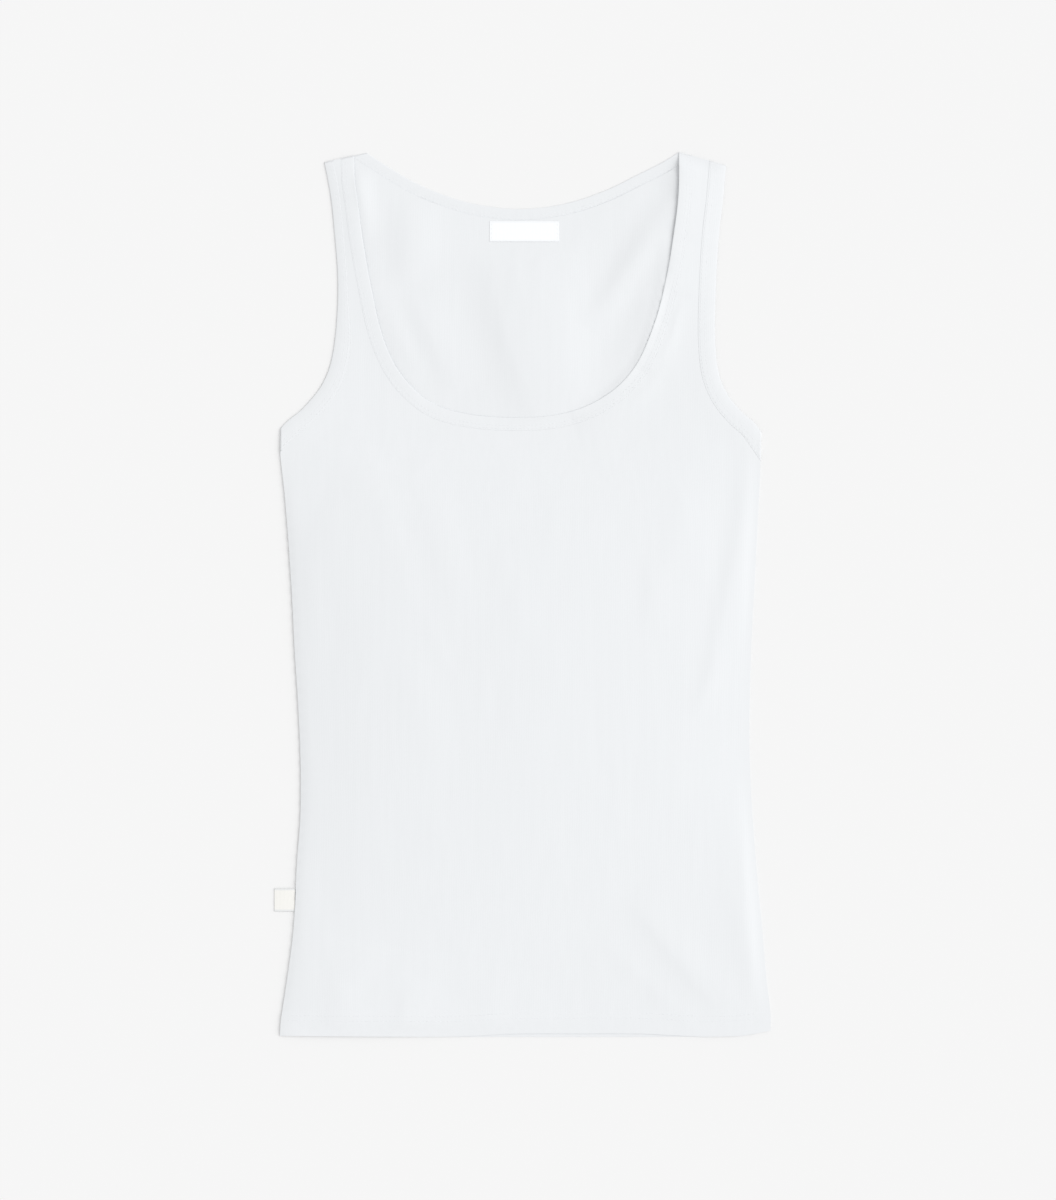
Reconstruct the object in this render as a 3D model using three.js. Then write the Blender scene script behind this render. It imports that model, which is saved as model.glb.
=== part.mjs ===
// Scoop-neck tank top laid flat on its back, front side up.
// X runs across the chest, Y from hem to shoulders, Z up from the surface. Millimetres.
import * as THREE from 'three';

// Cloth and seams
const clothWall = 1;
const bindingWall = 1.5;
const bindingRound = 0.4;
const hemExtra = 0.5;
const seamGap = 0.3;
const seamGapAtCorners = 1.05 * seamGap;
const sideSeamNear = 0.6;
const shoulderReach = 25;
const hemDepth = 17;

// Bindings, labels
const frontNeckBinding = 10;
const backNeckBinding = 8.5;
const armholeBinding = 12.8;
const leftBindingAtStrap = 7;
const leftBindingNarrows = { from: 0.3, over: 0.3 };
const label = { left: -24.8, right: 27.7, bottom: 268.6, top: 284.2, wall: 1 };
const tab = { outer: -188.8, bottom: -241, top: -223.8, wall: 1, gap: 0.5 };

// How the front lies on the back: a little air near the seams, fuller towards the middle
const frontBase = clothWall + seamGap;
const airHeight = 1.4;
const airMargin = 24;
const crownHeight = 4;
const crownFade = 130;
const chestHalf = 178;
const neckMargin = 70;
const bindingLevel = { from: 60, over: 45 };
const backFolds = { from: 150, over: 20, least: 0.04 };
const hemRise = { from: -22, to: 104, rise: 2.6, fade: 0.6 };
const hemFade = 3;
const hemAbove = 1.8;

// Points along an edge, and columns and rows of the cloth grids
const edgePoints = 90;
const sidePoints = 400;
const shoulderPoints = 8;
const strapColumns = 4;
const neckColumns = 18;
const frontBodyRows = 28;
const backBodyRows = 12;
const frontYokeRows = 6;
const frontStrapRows = 16;
const backYokeRows = 16;
const backStrapRows = 6;
const labelColumns = 8;
const tabColumns = 4;
const patchRows = 3;

// Finished edges, each listed from its lower end to its upper end
const leftSide = [
  { x: -184.7, y: -335.8 },
  { x: -183.8, y: -324.4 },
  { x: -179.4, y: -294.8 },
  { x: -174.2, y: -254.7 },
  { x: -171.6, y: -205 },
  { x: -168.9, y: -167.4 },
  { x: -168.9, y: -123.8 },
  { x: -170.9, y: -80 },
  { x: -173.3, y: -42.9 },
  { x: -175.8, y: 6.5 },
  { x: -180.6, y: 72.4 },
  { x: -184.4, y: 110 },
  { x: -184.2, y: 126.5 },
];
const rightSide = [
  { x: 188.8, y: -331.8 },
  { x: 188.7, y: -319.2 },
  { x: 185.3, y: -289.6 },
  { x: 182.4, y: -254.7 },
  { x: 177.4, y: -201 },
  { x: 173.4, y: -140 },
  { x: 172.7, y: -100 },
  { x: 174.2, y: -35.3 },
  { x: 176.9, y: 15 },
  { x: 179.2, y: 60.6 },
  { x: 181, y: 95.4 },
  { x: 181.6, y: 123.5 },
];
const leftArmhole = [
  { x: -184.2, y: 126.5 },
  { x: -178.1, y: 132.6 },
  { x: -169.1, y: 139.7 },
  { x: -160, y: 149.4 },
  { x: -153.2, y: 158.6 },
  { x: -147.3, y: 171.2 },
  { x: -143.8, y: 186.2 },
  { x: -141.2, y: 210 },
  { x: -140.4, y: 240 },
  { x: -142.8, y: 273.4 },
  { x: -146, y: 304 },
  { x: -150.7, y: 328.9 },
];
const rightArmhole = [
  { x: 181.6, y: 123.5 },
  { x: 176.6, y: 130.4 },
  { x: 166.8, y: 138.9 },
  { x: 156.2, y: 152 },
  { x: 149.6, y: 167 },
  { x: 146.6, y: 191 },
  { x: 146.8, y: 225 },
  { x: 149.2, y: 271 },
  { x: 152.5, y: 300 },
  { x: 154.8, y: 326.4 },
];
// The neck edges run from the left strap's top down round the scoop to the right strap's top
const frontNeck = [
  { x: -128.1, y: 333.9 },
  { x: -127.6, y: 316 },
  { x: -125, y: 296 },
  { x: -120.8, y: 265 },
  { x: -114.8, y: 232 },
  { x: -109.2, y: 206 },
  { x: -102.6, y: 186 },
  { x: -93.2, y: 168.6 },
  { x: -80, y: 153.9 },
  { x: -65, y: 143.8 },
  { x: -40, y: 137 },
  { x: -5.7, y: 134.6 },
  { x: 21.3, y: 136 },
  { x: 42, y: 140.8 },
  { x: 60, y: 149.3 },
  { x: 75, y: 160.6 },
  { x: 88, y: 177.4 },
  { x: 101.2, y: 209.1 },
  { x: 109.3, y: 241 },
  { x: 114.8, y: 273.2 },
  { x: 118.4, y: 303 },
  { x: 119, y: 336.5 },
];
const backNeck = [
  { x: -118.6, y: 336 },
  { x: -100.7, y: 324.4 },
  { x: -84.1, y: 314.5 },
  { x: -59.4, y: 303.8 },
  { x: -34.7, y: 296.8 },
  { x: -3, y: 293.4 },
  { x: 30.8, y: 297 },
  { x: 62.7, y: 307.2 },
  { x: 86.9, y: 319 },
  { x: 107.5, y: 329.4 },
  { x: 118.9, y: 336.6 },
];
const hemLine = [
  { x: -184.7, y: -335.8 },
  { x: -90, y: -336.5 },
  { x: 10, y: -336.7 },
  { x: 110, y: -336.5 },
  { x: 168, y: -335.6 },
  { x: 188.8, y: -331.8 },
];

// Creases: a soft ridge from one end to the other, with its height and half width
const frontCreases = [
  { fromX: 167, fromY: 100, toX: 163, toY: 4, height: 1.8, half: 9 },
  { fromX: 163, fromY: 8, toX: 138, toY: -78, height: 1.8, half: 9 },
  { fromX: 158, fromY: -172, toX: 178, toY: -296, height: 1.6, half: 9 },
  { fromX: 88, fromY: -240, toX: 164, toY: -310, height: 2.2, half: 11 },
  { fromX: -131, fromY: 96, toX: -88, toY: -20, height: 1, half: 13 },
  { fromX: -70, fromY: 92, toX: -50, toY: 0, height: 0.9, half: 12 },
  { fromX: 94, fromY: 10, toX: 90, toY: -60, height: 0.7, half: 13 },
  { fromX: -98, fromY: -262, toX: -146, toY: -318, height: 1.2, half: 10 },
  { fromX: 116, fromY: 312, toX: 112, toY: 262, height: 4.4, half: 18 },
  { fromX: 107, fromY: 234, toX: 100, toY: 214, height: 1.6, half: 14 },
];
const backCreases = [
  { fromX: -88, fromY: 290, toX: -66, toY: 180, height: 2.2, half: 15 },
  { fromX: 92, fromY: 262, toX: 56, toY: 206, height: 2.4, half: 11 },
  { fromX: -6, fromY: 236, toX: 6, toY: 176, height: 1.2, half: 15 },
];

// Smooth curve through a table's points, and evenly spaced points along one
function curveThrough(table) {
  const points = table.map((row) => new THREE.Vector3(row.x, row.y, 0));
  return new THREE.CatmullRomCurve3(points, false, 'centripetal');
}

const pointsAlong = (curve, count) => curve.getSpacedPoints(count);

// Points beside a curve, moved to its left by a width that may change along it
function pointsBeside(curve, count, width) {
  const points = [];
  for (let i = 0; i <= count; i += 1) {
    const along = i / count;
    const heading = curve.getTangentAt(along);
    const left = new THREE.Vector3(-heading.y, heading.x, 0);
    points.push(curve.getPointAt(along).addScaledVector(left, width(along)));
  }
  return points;
}

function lineBetween(start, end, count) {
  const points = [];
  for (let i = 0; i <= count; i += 1) {
    points.push(start.clone().lerp(end, i / count));
  }
  return points;
}

// The same polyline read again at even steps of its length
function evenly(points, count) {
  const reach = [0];
  for (let i = 1; i < points.length; i += 1) {
    reach.push(reach[i - 1] + points[i].distanceTo(points[i - 1]));
  }
  const result = [];
  for (let i = 0; i <= count; i += 1) {
    const target = (reach[reach.length - 1] * i) / count;
    let k = 1;
    while (k < points.length - 1 && reach[k] < target) k += 1;
    const share = (target - reach[k - 1]) / (reach[k] - reach[k - 1]);
    result.push(points[k - 1].clone().lerp(points[k], Math.min(Math.max(share, 0), 1)));
  }
  return result;
}

// Four edges filled with rows of points: the two rows blended, and the two columns blended
function fillBetween(lower, upper, left, right) {
  const columns = lower.length - 1;
  const rows = left.length - 1;
  const grid = [];
  for (let j = 0; j <= rows; j += 1) {
    const t = j / rows;
    const row = [];
    for (let i = 0; i <= columns; i += 1) {
      const s = i / columns;
      const point = new THREE.Vector3()
        .addScaledVector(lower[i], 1 - t)
        .addScaledVector(upper[i], t)
        .addScaledVector(left[j], 1 - s)
        .addScaledVector(right[j], s)
        .addScaledVector(lower[0], -(1 - s) * (1 - t))
        .addScaledVector(lower[columns], -s * (1 - t))
        .addScaledVector(upper[0], -(1 - s) * t)
        .addScaledVector(upper[columns], -s * t);
      row.push(point);
    }
    grid.push(row);
  }
  return grid;
}

// A wall over one or more grids that share their edges: an upper and a lower face, and a rim
// along every edge that belongs to one cell only
function wallOver(grids, lowerAt, upperAt) {
  const spots = [];
  const known = new Map();
  const spotOf = (point) => {
    const key = `${point.x.toFixed(2)},${point.y.toFixed(2)}`;
    if (!known.has(key)) {
      known.set(key, spots.length);
      spots.push(point);
    }
    return known.get(key);
  };
  const cells = [];
  for (const grid of grids) {
    for (let j = 0; j + 1 < grid.length; j += 1) {
      for (let i = 0; i + 1 < grid[j].length; i += 1) {
        cells.push([grid[j][i], grid[j][i + 1], grid[j + 1][i + 1], grid[j + 1][i]].map(spotOf));
      }
    }
  }
  const uses = new Map();
  for (const cell of cells) {
    cell.forEach((spot, k) => {
      const next = cell[(k + 1) % 4];
      uses.set(`${spot},${next}`, [spot, next]);
    });
  }
  const positions = [];
  for (const spot of spots) positions.push(spot.x, spot.y, upperAt(spot));
  for (const spot of spots) positions.push(spot.x, spot.y, lowerAt(spot));
  const under = spots.length;
  const faces = [];
  for (const [a, b, c, d] of cells) {
    faces.push(a, b, c, a, c, d);
    faces.push(under + a, under + c, under + b, under + a, under + d, under + c);
  }
  for (const [a, b] of uses.values()) {
    if (!uses.has(`${b},${a}`)) {
      faces.push(a, under + a, under + b, a, under + b, b);
    }
  }
  const geometry = new THREE.BufferGeometry();
  geometry.setAttribute('position', new THREE.Float32BufferAttribute(positions, 3));
  geometry.setIndex(faces);
  geometry.computeVertexNormals();
  return geometry;
}

// Heights: a crease is a bell across its line that fades out at both ends
function creaseHeight(creases, spot) {
  let total = 0;
  for (const crease of creases) {
    const alongX = crease.toX - crease.fromX;
    const alongY = crease.toY - crease.fromY;
    const length = Math.hypot(alongX, alongY);
    const offX = spot.x - crease.fromX;
    const offY = spot.y - crease.fromY;
    const along = (offX * alongX + offY * alongY) / length;
    const across = (offX * alongY - offY * alongX) / length;
    const beyond = Math.max(-along, along - length, 0);
    const away = Math.hypot(across, beyond) / crease.half;
    total += crease.height * Math.exp(-away * away);
  }
  return total;
}

const smoothRise = (share) => {
  const t = Math.min(Math.max(share, 0), 1);
  return t * t * (3 - 2 * t);
};

const curves = {
  leftSide: curveThrough(leftSide),
  rightSide: curveThrough(rightSide),
  leftArmhole: curveThrough(leftArmhole),
  rightArmhole: curveThrough(rightArmhole),
  frontNeck: curveThrough(frontNeck),
  backNeck: curveThrough(backNeck),
  hem: curveThrough(hemLine),
};

// Shoulder seams, both listed in the direction of +X
const shoulders = {
  left: [curves.leftArmhole.getPointAt(1), curves.backNeck.getPointAt(0)],
  right: [curves.backNeck.getPointAt(1), curves.rightArmhole.getPointAt(1)],
};

// The outline that front and back share, to measure how far a spot lies inside it
const sharedEdges = ['leftSide', 'leftArmhole', 'rightArmhole', 'rightSide', 'hem'];
const sharedOutline = [
  ...sharedEdges.flatMap((name) => pointsAlong(curves[name], edgePoints)),
  ...lineBetween(...shoulders.left, shoulderPoints),
  ...lineBetween(...shoulders.right, shoulderPoints),
];

const neckLine = pointsAlong(curves.frontNeck, edgePoints);

function distanceTo(line, spot) {
  let nearest = Infinity;
  for (const point of line) {
    nearest = Math.min(nearest, Math.hypot(point.x - spot.x, point.y - spot.y));
  }
  return nearest;
}

// The front floats on air away from its seams and its neck edge, is fuller towards the middle,
// and its creases stand on that
function frontRise(spot) {
  const share = smoothRise(distanceTo(sharedOutline, spot) / airMargin);
  const loose = smoothRise(distanceTo(neckLine, spot) / neckMargin);
  const middle = Math.max(1 - (spot.x / chestHalf) ** 2, 0);
  const body = smoothRise((spot.y - hemLine[0].y) / crownFade);
  const air = loose * (airHeight + crownHeight * middle * body);
  return share * (air + creaseHeight(frontCreases, spot));
}

// The front lies on the back panel, and from the underarms up on the back's thicker bindings
function frontLevel(spot) {
  const step = bindingWall - clothWall;
  return frontBase + step * smoothRise((spot.y - bindingLevel.from) / bindingLevel.over);
}

const hemShare = (spot) => smoothRise((hemLine[0].y + hemDepth + hemAbove - spot.y) / hemFade);
const hemWall = (spot) => hemExtra * hemShare(spot);

// The back rests flat, apart from its folds inside the neck opening
const backPanelLow = (spot) => {
  const opening = smoothRise((spot.y - backFolds.from) / backFolds.over);
  const lift = creaseHeight(backCreases, spot) * opening;
  return lift < backFolds.least ? 0 : lift;
};
const backPanelHigh = (spot) => backPanelLow(spot) + clothWall + hemWall(spot);
const frontPanelLow = (spot) => frontLevel(spot) + frontRise(spot) + hemWall(spot);
const frontPanelHigh = (spot) => frontPanelLow(spot) + clothWall + hemWall(spot);

// A binding's finished edge and its seam, from the underarm up or across the scoop. Where the
// seam's curve runs past the side seam it ends there.
const sideAt = (side, y) => {
  const points = pointsAlong(side, sidePoints);
  let nearest = points[0];
  for (const point of points) {
    if (Math.abs(point.y - y) < Math.abs(nearest.y - y)) nearest = point;
  }
  return nearest;
};

function armholeSeam(armhole, side, sign, width) {
  const points = pointsBeside(armhole, edgePoints, (along) => sign * width(along));
  const inner = points.filter((point) => sign * (sideAt(side, point.y).x - point.x) > sideSeamNear);
  const first = inner[0];
  const next = inner[1];
  const slope = (first.y - next.y) / (first.x - next.x);
  let end = sideAt(side, first.y);
  for (let i = 0; i < 6; i += 1) {
    end = sideAt(side, first.y + slope * (end.x - first.x));
  }
  return [new THREE.Vector3(end.x, first.y + slope * (end.x - first.x), 0), ...inner];
}

// The left binding turns partly under on the strap, so that less of its width shows there
function leftWidth(along) {
  const share = smoothRise((along - leftBindingNarrows.from) / leftBindingNarrows.over);
  return armholeBinding + (leftBindingAtStrap - armholeBinding) * share;
}

const rightWidth = () => armholeBinding;

// Part of a side seam, from the hem up to a height
function sideUpTo(side, y, count) {
  const points = pointsAlong(side, sidePoints).filter((point) => point.y < y - sideSeamNear);
  points.push(new THREE.Vector3(sideAt(side, y).x, y, 0));
  return evenly(points, count);
}

// Rows sit closer at the hem, so that its fold shows as a step
function withHemRows(points) {
  const first = points[0];
  const stepUp = (rise) => {
    const share = rise / (points[1].y - first.y);
    return first.clone().lerp(points[1], Math.min(share, 0.98));
  };
  const top = hemDepth + hemAbove;
  return [first, stepUp(top - hemFade), stepUp(top), ...points.slice(1)];
}

// A seam is lengthened or cut so that it ends on the shoulder seam
function endOnShoulder(points, shoulder) {
  const last = points[points.length - 1];
  const ahead = last.clone().sub(points[points.length - 3]).setLength(shoulderReach);
  const long = [...points, last.clone().add(ahead)];
  const along = shoulder[1].clone().sub(shoulder[0]);
  const beyond = (point) => {
    const off = point.clone().sub(shoulder[0]);
    return (along.x * off.y - along.y * off.x) / along.length();
  };
  const k = long.findIndex((point) => beyond(point) > 0);
  const before = beyond(long[k - 1]);
  const share = -before / (beyond(long[k]) - before);
  return [...long.slice(0, k), long[k - 1].clone().lerp(long[k], share)];
}

function splitAt(points, test) {
  const k = points.findIndex(test);
  return [points.slice(0, k + 1), points.slice(k)];
}

const panelSeams = {
  left: endOnShoulder(
    armholeSeam(curves.leftArmhole, curves.leftSide, -1, leftWidth),
    shoulders.left,
  ),
  right: endOnShoulder(
    armholeSeam(curves.rightArmhole, curves.rightSide, 1, rightWidth),
    shoulders.right,
  ),
};

// The seam beside a neck edge, both ends on the shoulder seams
function neckSeam(curve, width) {
  const points = pointsBeside(curve, edgePoints, () => -width);
  const rightDone = endOnShoulder(points, shoulders.right);
  return endOnShoulder(rightDone.reverse(), shoulders.left).reverse();
}

// One panel: the body up to the underarms, the yoke up to the neck seam, and two straps
function panelGrids(neck, corner, hem, bodyRows, yokeRows, strapRows) {
  const leftTop = panelSeams.left[0];
  const rightTop = panelSeams.right[0];
  const columns = neckColumns + 2 * strapColumns;
  const left = withHemRows(sideUpTo(curves.leftSide, leftTop.y, bodyRows));
  const right = withHemRows(sideUpTo(curves.rightSide, rightTop.y, bodyRows));
  left[left.length - 1] = leftTop.clone();
  right[right.length - 1] = rightTop.clone();
  left[0] = hem[0].clone();
  right[0] = hem[hem.length - 1].clone();
  const underarm = lineBetween(leftTop, rightTop, columns);
  const body = fillBetween(evenly(hem, columns), underarm, left, right);

  const [leftNeck, rest] = splitAt(neck, (point) => point.y < corner.leftY);
  const tail = [...rest].reverse();
  const [rightNeck, scoopBack] = splitAt(tail, (point) => point.y < corner.rightY);
  const scoop = [...scoopBack].reverse();
  const [leftLow, leftHigh] = splitAt(panelSeams.left, (point) => point.y > corner.armY);
  const [rightLow, rightHigh] = splitAt(panelSeams.right, (point) => point.y > corner.armY);
  const leftBase = lineBetween(leftHigh[0], scoop[0], strapColumns);
  const rightBase = lineBetween(scoop[scoop.length - 1], rightHigh[0], strapColumns);
  const yokeTop = [...leftBase, ...evenly(scoop, neckColumns).slice(1), ...rightBase.slice(1)];
  const yoke = fillBetween(
    underarm,
    yokeTop,
    evenly(leftLow, yokeRows),
    evenly(rightLow, yokeRows),
  );
  const strap = (base, outer, inner) => {
    const outerEdge = evenly(outer, strapRows);
    const innerEdge = evenly(inner, strapRows);
    const top = lineBetween(outerEdge[strapRows], innerEdge[strapRows], strapColumns);
    return base(outerEdge, innerEdge, top);
  };
  const leftStrap = strap(
    (outer, inner, top) => fillBetween(leftBase, top, outer, inner),
    leftHigh,
    [...leftNeck].reverse(),
  );
  const rightStrap = strap(
    (outer, inner, top) => fillBetween(rightBase, [...top].reverse(), inner, outer),
    rightHigh,
    [...rightNeck].reverse(),
  );
  const outerEdge = (grid) => grid.map((row) => row[row.length - 1]);
  const firstEdge = (grid) => grid.map((row) => row[0]);
  return {
    grids: [body, yoke, leftStrap, rightStrap],
    left: [...firstEdge(yoke), ...firstEdge(leftStrap).slice(1)],
    right: [...outerEdge(yoke), ...outerEdge(rightStrap).slice(1)],
    neck: [
      ...outerEdge(leftStrap).reverse(),
      ...yokeTop.slice(strapColumns + 1, strapColumns + neckColumns),
      ...firstEdge(rightStrap),
    ],
  };
}

// A seam's points moved by the seam gap to the binding's side
function acrossSeam(points, sign) {
  return points.map((point, i) => {
    const before = points[Math.max(i - 1, 0)];
    const after = points[Math.min(i + 1, points.length - 1)];
    const heading = after.clone().sub(before).normalize();
    const gap = sign * seamGapAtCorners;
    return new THREE.Vector3(point.x - heading.y * gap, point.y + heading.x * gap, 0);
  });
}

// A binding is folded cloth, rounded at its finished edge. Its rows run from that edge to its
// seam, at these shares of its width.
const bindingShares = [0, 0.12, 0.5, 1];

function bindingWallOver(edge, seam, lower) {
  const outer = evenly(edge, seam.length - 1);
  const rows = bindingShares.map((share) => {
    return outer.map((point, i) => point.clone().lerp(seam[i], share));
  });
  const finished = new Set(rows[0]);
  const rounding = (spot) => (finished.has(spot) ? bindingRound : 0);
  const low = (spot) => lower(spot) + rounding(spot);
  const high = (spot) => lower(spot) + bindingWall - rounding(spot);
  return wallOver([rows], low, high);
}

function flipIfInsideOut(geometry) {
  const position = geometry.getAttribute('position');
  const index = geometry.getIndex();
  let volume = 0;
  const a = new THREE.Vector3();
  const b = new THREE.Vector3();
  const c = new THREE.Vector3();
  for (let i = 0; i < index.count; i += 3) {
    a.fromBufferAttribute(position, index.getX(i));
    b.fromBufferAttribute(position, index.getX(i + 1));
    c.fromBufferAttribute(position, index.getX(i + 2));
    volume += a.dot(b.clone().cross(c));
  }
  if (volume < 0) {
    for (let i = 0; i < index.count; i += 3) {
      const first = index.getX(i);
      index.setX(i, index.getX(i + 1));
      index.setX(i + 1, first);
    }
    geometry.computeVertexNormals();
  }
  return geometry;
}

const whiteJersey = { color: 0xeef0f2, roughness: 0.92, metalness: 0 };
const whiteSatin = { color: 0xffffff, roughness: 0.6, metalness: 0 };
const offWhiteRibbon = { color: 0xf1f0ec, roughness: 0.8, metalness: 0 };

const tankTop = new THREE.Group();
tankTop.name = 'tank_top';

function addPiece(name, geometry, look) {
  const mesh = new THREE.Mesh(flipIfInsideOut(geometry), new THREE.MeshStandardMaterial(look));
  mesh.name = name;
  tankTop.add(mesh);
}

// Back panel and front panel
const backHem = pointsAlong(curves.hem, edgePoints);
const frontHem = backHem.map((point) => {
  const middle = (hemRise.from + hemRise.to) / 2;
  const reach = (hemRise.to - hemRise.from) / 2;
  const share = smoothRise(1 + hemRise.fade - Math.abs(point.x - middle) / reach);
  return new THREE.Vector3(point.x, point.y + hemRise.rise * share, 0);
});
const back = panelGrids(
  neckSeam(curves.backNeck, backNeckBinding),
  { leftY: 298, rightY: 300, armY: 250 },
  backHem,
  backBodyRows,
  backYokeRows,
  backStrapRows,
);
const front = panelGrids(
  neckSeam(curves.frontNeck, frontNeckBinding),
  { leftY: 164, rightY: 166, armY: 164 },
  frontHem,
  frontBodyRows,
  frontYokeRows,
  frontStrapRows,
);
addPiece('back_panel', wallOver(back.grids, backPanelLow, backPanelHigh), whiteJersey);
addPiece('front_panel', wallOver(front.grids, frontPanelLow, frontPanelHigh), whiteJersey);

// Neck and armhole bindings, each with its run on the back and its run on the front
const onSurface = () => 0;
const onBack = (spot) => frontLevel(spot) + frontRise(spot);
const runs = [
  { run: 'back', panel: back, neck: curves.backNeck, lower: onSurface },
  { run: 'front', panel: front, neck: curves.frontNeck, lower: onBack },
];
for (const { run, panel, neck, lower } of runs) {
  const neckEdge = pointsAlong(neck, edgePoints);
  const neckWall = bindingWallOver(neckEdge, acrossSeam(panel.neck, 1), lower);
  addPiece(`neck_binding_${run}`, neckWall, whiteJersey);
  for (const [side, sign] of [['left', 1], ['right', -1]]) {
    const edge = pointsAlong(curves[`${side}Armhole`], edgePoints);
    const wall = bindingWallOver(edge, acrossSeam(panel[side], sign), lower);
    addPiece(`armhole_binding_${side}_${run}`, wall, whiteJersey);
  }
}

// A patch with level ends, whose left and right edges may slant
function patchGrid(lowLeft, lowRight, highLeft, highRight, columns, rows) {
  return fillBetween(
    lineBetween(lowLeft, lowRight, columns),
    lineBetween(highLeft, highRight, columns),
    lineBetween(lowLeft, highLeft, rows),
    lineBetween(lowRight, highRight, rows),
  );
}

// Blank neck label on the inside of the back
const labelGrid = patchGrid(
  new THREE.Vector3(label.left, label.bottom, 0),
  new THREE.Vector3(label.right, label.bottom, 0),
  new THREE.Vector3(label.left, label.top, 0),
  new THREE.Vector3(label.right, label.top, 0),
  labelColumns,
  patchRows,
);
const labelLow = (spot) => backPanelHigh(spot) + seamGap;
const labelHigh = (spot) => labelLow(spot) + label.wall;
addPiece('neck_label', wallOver([labelGrid], labelLow, labelHigh), whiteSatin);

// Folded ribbon tab in the left side seam
const tabEnd = (y) => new THREE.Vector3(sideAt(curves.leftSide, y).x - tab.gap, y, 0);
const tabGrid = patchGrid(
  new THREE.Vector3(tab.outer, tab.bottom, 0),
  tabEnd(tab.bottom),
  new THREE.Vector3(tab.outer, tab.top, 0),
  tabEnd(tab.top),
  tabColumns,
  patchRows,
);
addPiece('side_tab', wallOver([tabGrid], () => 0, () => tab.wall), offWhiteRibbon);

export default tankTop;
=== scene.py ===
# Women's scoop-neck tank top in white cotton jersey, laid flat with its front up, seen from above
import math

import bpy
import numpy as np
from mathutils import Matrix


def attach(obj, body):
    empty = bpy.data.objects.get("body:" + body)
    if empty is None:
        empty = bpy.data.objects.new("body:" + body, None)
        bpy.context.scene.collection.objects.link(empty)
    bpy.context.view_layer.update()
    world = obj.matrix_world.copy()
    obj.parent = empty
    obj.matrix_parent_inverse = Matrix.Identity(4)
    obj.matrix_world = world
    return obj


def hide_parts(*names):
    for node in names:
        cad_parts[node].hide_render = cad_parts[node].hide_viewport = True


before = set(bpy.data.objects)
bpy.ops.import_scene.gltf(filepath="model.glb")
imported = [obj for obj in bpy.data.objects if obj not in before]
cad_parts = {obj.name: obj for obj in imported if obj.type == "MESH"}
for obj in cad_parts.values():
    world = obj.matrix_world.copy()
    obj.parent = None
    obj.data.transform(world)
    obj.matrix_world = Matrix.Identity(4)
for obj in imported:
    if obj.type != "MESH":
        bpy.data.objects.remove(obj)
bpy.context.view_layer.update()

mm = 0.001  # every table below is in millimetres, meshes are in metres

# How the cloth is made and how it lies
cloth = {
    "wall": 0.45,            # jersey; its solid is a thicker wall round the same form
    "bindingWall": 0.6,      # jersey folded round the raw edge and pressed flat
    "hemExtra": 0.15,        # the turned-up hem
    "layerGap": 0.05,        # between cloth that lies on cloth
    "hemDepth": 17.0,
    "frontNeckBinding": 10.0,
    "backNeckBinding": 8.5,
    "armholeBinding": 12.8,
    "leftBindingAtStrap": 7.0,
    "air": 0.8,              # air between front and back, away from the seams
    "airMargin": 60.0,
    "neckMargin": 90.0,      # the neck edge lies close to the back, the front lifts beyond it
    "crown": 6.5,            # the front is fuller towards the middle
    "crownWide": 165.0,
    "crownPower": 1.6,
    "crownTop": 165.0,       # it starts under the straps and is gone again at the hem
    "crownTopFade": 150.0,
    "crownFoot": 15.0,
    "crownFootFade": 200.0,
    "foldMargin": 12.0,      # the front's creases level out this close to the outline
    "pressed": 0.6,          # share of the wall that is missing at the armhole edges and the hem
    "pressedAtScoop": 0.55,
    "pressedWide": 3.0,
    "hemStep": 2.4,          # the passage from the hem's two layers to one
}

# How the back lies: level along the outline and below the armholes, a little swollen in the neck
# opening, and its folds flatten out under the front
backForm = {"edge": 6.0, "edgeFade": 14.0, "underFront": 9.0, "swell": 0.3, "swellWide": 3.0,
            "swellFoot": 145.0, "levelBelow": 114.0, "fade": 20.0}

# How far each seam stands open between its two pieces, and how the side seams roll over: the
# height of the roll and how fast it levels out, and where it fades at both ends and inwards
seamOpen = {"neck": 0.02, "left": 0.02, "right": 0.05}
sideRolls = {"leftSide": {"height": 1.4, "wide": 3.6}, "rightSide": {"height": 0.35, "wide": 9.0}}
rollFade = {"top": 132.0, "topFade": 100.0, "footShare": 0.6, "footFade": 40.0, "reach": 150.0,
            "reachFade": 100.0}

# Finished edges, side seams and armholes from low to high
leftSide = [
    (-184.7, -335.8), (-183.8, -324.4), (-179.4, -294.8), (-174.2, -254.7), (-171.6, -205.0),
    (-168.9, -167.4), (-168.9, -123.8), (-170.9, -80.0), (-173.3, -42.9), (-175.8, 6.5),
    (-180.6, 72.4), (-184.4, 110.0), (-184.2, 126.5),
]
rightSide = [
    (188.8, -331.8), (188.7, -319.2), (185.3, -289.6), (182.4, -254.7), (177.4, -201.0),
    (173.4, -140.0), (172.7, -100.0), (174.2, -35.3), (176.9, 15.0), (179.2, 60.6),
    (181.0, 95.4), (181.6, 123.5),
]
leftArmhole = [
    (-184.2, 126.5), (-178.1, 132.6), (-169.1, 139.7), (-160.0, 149.4), (-153.2, 158.6),
    (-147.3, 171.2), (-143.8, 186.2), (-141.2, 210.0), (-140.4, 240.0), (-142.8, 273.4),
    (-146.0, 304.0), (-150.7, 328.9),
]
rightArmhole = [
    (181.6, 123.5), (176.6, 130.4), (166.8, 138.9), (156.2, 152.0), (149.6, 167.0),
    (146.6, 191.0), (146.8, 225.0), (149.2, 271.0), (152.5, 300.0), (154.8, 326.4),
]
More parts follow.
